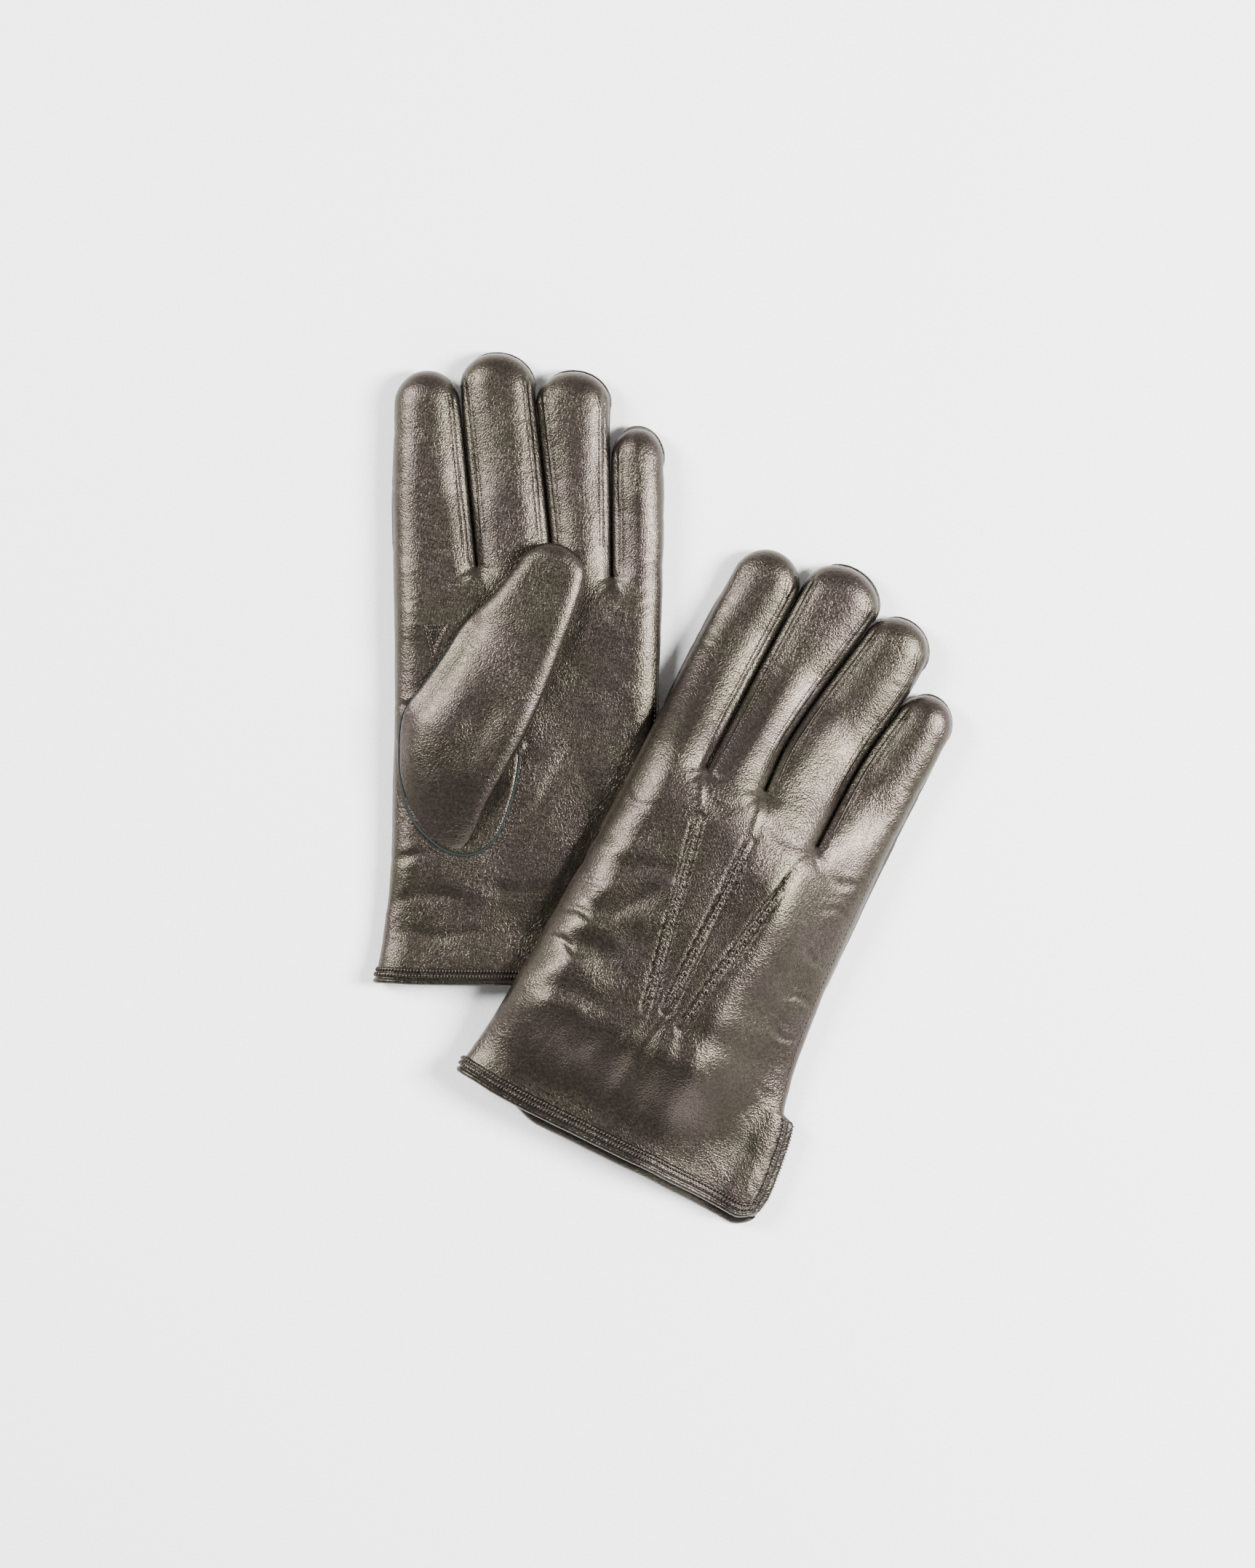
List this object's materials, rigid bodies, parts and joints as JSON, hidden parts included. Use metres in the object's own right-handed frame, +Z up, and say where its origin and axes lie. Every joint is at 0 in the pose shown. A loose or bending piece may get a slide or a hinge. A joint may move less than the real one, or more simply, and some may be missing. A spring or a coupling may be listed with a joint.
{
  "type": "leather gloves",
  "caption": "Pair of leather dress gloves laid flat: one palm up with its thumb folded over, the other back up across it, with stitched points and a slit, bound cuff.",
  "frame": {"origin": "middle of the pair's footprint, on the surface they lie on", "axes": "+Z up, +Y the way the left glove's fingers point to within a degree, +X to the right seen from above"},
  "size_m": [0.2261, 0.3407, 0.034],
  "materials": {
    "glove_leather": "smooth nappa with a metallic sheen",
    "fourchette_leather": "smooth nappa, a little duller",
    "edge_trim": "folded and stitched edge strip",
    "point_stitching": "stitched tuck",
    "lining": "dark fine knit"
  },
  "bodies": {
    "left_hand": {"left_trank": "glove_leather", "left_hand_lining": "lining", "left_cuff_binding": "edge_trim", "left_vent_bead_palm": "edge_trim", "left_vent_bead_back": "edge_trim", "left_point_by_index": "point_stitching", "left_point_middle": "point_stitching", "left_point_by_little": "point_stitching", "left_quirk": "glove_leather", "left_thumb_base": "glove_leather", "left_thumb_base_lining": "lining"},
    "left_thumb": {"left_thumb_sleeve": "glove_leather", "left_thumb_lining": "lining"},
    "left_index": {"left_index_sleeve": "glove_leather", "left_index_lining": "lining", "left_index_fourchette": "fourchette_leather"},
    "left_middle": {"left_middle_sleeve": "glove_leather", "left_middle_lining": "lining", "left_middle_fourchette_index_side": "fourchette_leather", "left_middle_fourchette_little_side": "fourchette_leather"},
    "left_ring": {"left_ring_sleeve": "glove_leather", "left_ring_lining": "lining", "left_ring_fourchette_index_side": "fourchette_leather", "left_ring_fourchette_little_side": "fourchette_leather"},
    "left_little": {"left_little_sleeve": "glove_leather", "left_little_lining": "lining", "left_little_fourchette": "fourchette_leather"},
    "right_hand": {"right_trank": "glove_leather", "right_hand_lining": "lining", "right_cuff_binding": "edge_trim", "right_vent_bead_palm": "edge_trim", "right_vent_bead_back": "edge_trim", "right_point_by_index": "point_stitching", "right_point_middle": "point_stitching", "right_point_by_little": "point_stitching", "right_quirk": "glove_leather", "right_thumb_base": "glove_leather", "right_thumb_base_lining": "lining"},
    "right_thumb": {"right_thumb_sleeve": "glove_leather", "right_thumb_lining": "lining"},
    "right_index": {"right_index_sleeve": "glove_leather", "right_index_lining": "lining", "right_index_fourchette": "fourchette_leather"},
    "right_middle": {"right_middle_sleeve": "glove_leather", "right_middle_lining": "lining", "right_middle_fourchette_index_side": "fourchette_leather", "right_middle_fourchette_little_side": "fourchette_leather"},
    "right_ring": {"right_ring_sleeve": "glove_leather", "right_ring_lining": "lining", "right_ring_fourchette_index_side": "fourchette_leather", "right_ring_fourchette_little_side": "fourchette_leather"},
    "right_little": {"right_little_sleeve": "glove_leather", "right_little_lining": "lining", "right_little_fourchette": "fourchette_leather"}
  },
  "joints": [
    {"name": "left_index_bend", "type": "hinge", "parent": "left_hand", "child": "left_index", "pos_m": [-0.08982, 0.09096, 0.015], "axis": [0.9998, -0.0175, 0], "range_deg": [0, 90]},
    {"name": "left_middle_bend", "type": "hinge", "parent": "left_hand", "child": "left_middle", "pos_m": [-0.05894, 0.09742, 0.015], "axis": [0.9998, -0.0175, 0], "range_deg": [0, 90]},
    {"name": "left_ring_bend", "type": "hinge", "parent": "left_hand", "child": "left_ring", "pos_m": [-0.032, 0.09695, 0.015], "axis": [0.9998, -0.0175, 0], "range_deg": [0, 90]},
    {"name": "left_little_bend", "type": "hinge", "parent": "left_hand", "child": "left_little", "pos_m": [-0.00951, 0.08655, 0.015], "axis": [0.9998, -0.0175, 0], "range_deg": [0, 90]},
    {"name": "left_thumb_lift", "type": "hinge", "parent": "left_hand", "child": "left_thumb", "pos_m": [-0.07717, 0.02405, 0.02703], "axis": [0.8788, -0.4772, 0], "range_deg": [0, 70]},
    {"name": "right_glove_lift_off", "type": "slide", "parent": "left_hand", "child": "right_hand", "axis": [0, 0, 1], "range_m": [0, 0.12]},
    {"name": "right_index_bend", "type": "hinge", "parent": "right_hand", "child": "right_index", "pos_m": [0.01213, 0.02709, 0.00961], "axis": [-0.8829, 0.4695, 0], "range_deg": [0, 70]},
    {"name": "right_middle_bend", "type": "hinge", "parent": "right_hand", "child": "right_middle", "pos_m": [0.03613, 0.01886, 0.00935], "axis": [-0.8829, 0.4695, 0], "range_deg": [0, 70]},
    {"name": "right_ring_bend", "type": "hinge", "parent": "right_hand", "child": "right_ring", "pos_m": [0.05934, 0.00652, 0.004], "axis": [-0.8829, 0.4695, 0], "range_deg": [0, 70]},
    {"name": "right_little_bend", "type": "hinge", "parent": "right_hand", "child": "right_little", "pos_m": [0.07998, -0.01465, 0.00074], "axis": [-0.8829, 0.4695, 0], "range_deg": [0, 70]},
    {"name": "right_thumb_lift", "type": "hinge", "parent": "right_hand", "child": "right_thumb", "pos_m": [0.01732, -0.02707, 0.0108], "axis": [-0.5446, 0.8387, 0], "range_deg": [0, 70]}
  ]
}
